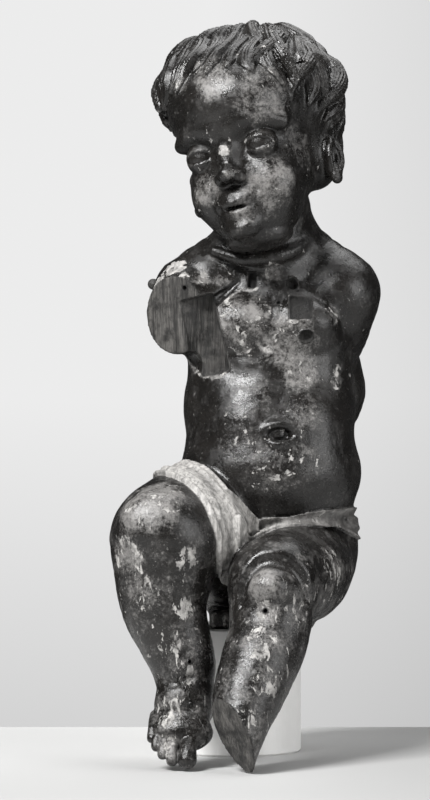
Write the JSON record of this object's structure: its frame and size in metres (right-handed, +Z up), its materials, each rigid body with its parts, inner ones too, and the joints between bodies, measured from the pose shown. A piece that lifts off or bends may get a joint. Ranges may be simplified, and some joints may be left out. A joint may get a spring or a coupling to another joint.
{
  "type": "carved wooden putto statue",
  "caption": "Seated carved and painted wooden putto with hanging legs, a lost right arm and left foot, on a pale round display block.",
  "frame": {"origin": "centre of the display block's flat underside, where the statue stands", "axes": "+Z up, the figure faces -Y, +X towards the figure's own left"},
  "size_m": [0.2146, 0.2718, 0.5813],
  "materials": {
    "painted_wood": "dark worn paint over pale ground, semi-gloss, flaking",
    "peg_wood": "dark, matt",
    "pale_block": "matt pale paint"
  },
  "bodies": {
    "root": {"putto": "painted_wood", "shoulder_peg": "peg_wood", "support_block": "pale_block"}
  },
  "joints": []
}
